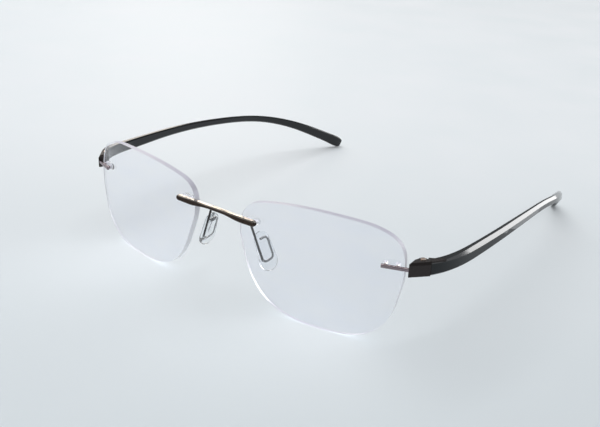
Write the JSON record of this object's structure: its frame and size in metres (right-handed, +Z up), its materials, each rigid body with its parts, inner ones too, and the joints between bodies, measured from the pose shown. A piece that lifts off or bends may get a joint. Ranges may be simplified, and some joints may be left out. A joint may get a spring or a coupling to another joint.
{
  "type": "rimless eyeglasses",
  "caption": "Rimless eyeglasses: clear lenses on a slim metal bridge bar, silicone nose pads on wire arms, and folding black temples with a curved ear tip.",
  "frame": {"origin": "on the surface that the glasses stand on, under the middle of their box with the temples open", "axes": "+Z up, -Y the way the wearer looks, +X the wearer's left"},
  "size_m": [0.1432, 0.1498, 0.0366],
  "materials": {
    "lens": "clear polished resin lens",
    "silicone": "clear moulded silicone",
    "sleeve": "clear moulded nylon",
    "bridge_metal": "dark bronze plated stainless steel, polished bevels",
    "endpiece_metal": "rose gunmetal plated stainless steel",
    "hinge_metal": "satin anthracite plating",
    "wire": "dark gunmetal drawn wire",
    "screw": "copper coloured plated screw",
    "temple_nylon": "glossy black moulded nylon"
  },
  "bodies": {
    "front": {"bridge": "bridge_metal", "left_lens": "lens", "left_bridge_sleeve": "sleeve", "left_pad_arm": "wire", "left_nose_pad": "silicone", "left_endpiece_rod": "endpiece_metal", "left_endpiece_sleeve": "sleeve", "left_hinge_block": "hinge_metal", "left_hinge_screw": "screw", "right_lens": "lens", "right_bridge_sleeve": "sleeve", "right_pad_arm": "wire", "right_nose_pad": "silicone", "right_endpiece_rod": "endpiece_metal", "right_endpiece_sleeve": "sleeve", "right_hinge_block": "hinge_metal", "right_hinge_screw": "screw"},
    "left_temple_arm": {"left_temple": "temple_nylon", "left_hinge_leaf": "hinge_metal"},
    "right_temple_arm": {"right_temple": "temple_nylon", "right_hinge_leaf": "hinge_metal"}
  },
  "joints": [
    {"name": "left_temple_fold", "type": "hinge", "parent": "front", "child": "left_temple_arm", "pos_m": [0.06345, -0.06078, 0.0257], "axis": [0, 0, 1], "range_deg": [0, 85]},
    {"name": "right_temple_fold", "type": "hinge", "parent": "front", "child": "right_temple_arm", "pos_m": [-0.06345, -0.06078, 0.0257], "axis": [0, 0, -1], "range_deg": [0, 76]}
  ]
}
